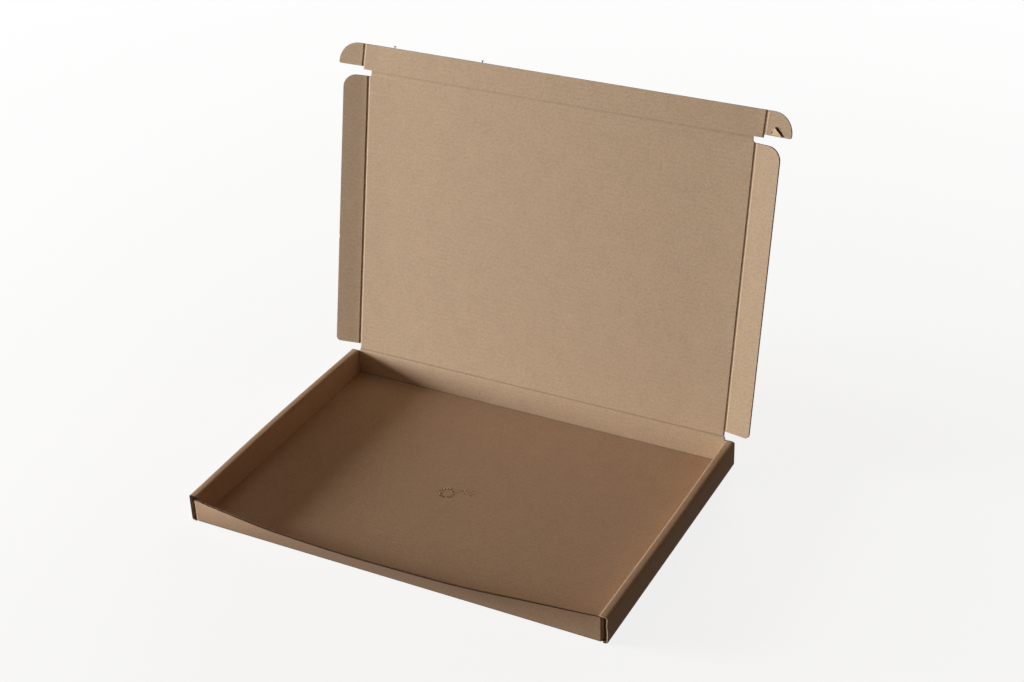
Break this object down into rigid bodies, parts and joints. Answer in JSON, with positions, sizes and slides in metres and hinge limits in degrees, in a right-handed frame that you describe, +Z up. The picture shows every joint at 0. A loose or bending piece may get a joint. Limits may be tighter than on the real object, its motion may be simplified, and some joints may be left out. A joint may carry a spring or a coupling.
{
  "type": "flat postal box",
  "caption": "Flat die-cut corrugated postal box standing open: shallow tray with rolled side walls, and a hinged lid with a tuck flap, ears and side wings.",
  "frame": {"origin": "the middle of the tray's underside, on the surface it rests on", "axes": "+X to the right seen from the open front, -Y towards the front wall, +Y towards the lid's crease, +Z up"},
  "size_m": [0.3764, 0.2855, 0.2737],
  "materials": {
    "kraft_board": "matte uncoated kraft liner"
  },
  "bodies": {
    "tray": {"tray": "kraft_board"},
    "lid": {"lid_panel": "kraft_board"},
    "tuck": {"tuck_flap": "kraft_board"},
    "ear_left": {"tuck_ear_left": "kraft_board"},
    "ear_right": {"tuck_ear_right": "kraft_board"},
    "wing_left": {"lid_wing_left": "kraft_board"},
    "wing_right": {"lid_wing_right": "kraft_board"}
  },
  "joints": [
    {"name": "lid_hinge", "type": "hinge", "parent": "tray", "child": "lid", "pos_m": [0, 0.11575, 0.02442], "axis": [-1, 0, 0], "range_deg": [-101.4, 78.6]},
    {"name": "tuck_hinge", "type": "hinge", "parent": "lid", "child": "tuck", "pos_m": [0, 0.16198, 0.2537], "axis": [-1, 0, 0], "range_deg": [-96.5, 13.5]},
    {"name": "ear_left_hinge", "type": "hinge", "parent": "tuck", "child": "ear_left", "pos_m": [-0.1674, 0.16198, 0.2537], "axis": [0, -0.3074, -0.9516], "range_deg": [-85, 15]},
    {"name": "ear_right_hinge", "type": "hinge", "parent": "tuck", "child": "ear_right", "pos_m": [0.1674, 0.16198, 0.2537], "axis": [0, 0.3074, 0.9516], "range_deg": [-85, 15]},
    {"name": "wing_left_hinge", "type": "hinge", "parent": "lid", "child": "wing_left", "pos_m": [-0.1618, 0.11575, 0.02442], "axis": [0, -0.1977, -0.9803], "range_deg": [-85, 20]},
    {"name": "wing_right_hinge", "type": "hinge", "parent": "lid", "child": "wing_right", "pos_m": [0.1618, 0.11575, 0.02442], "axis": [0, 0.1977, 0.9803], "range_deg": [-85, 20]}
  ]
}
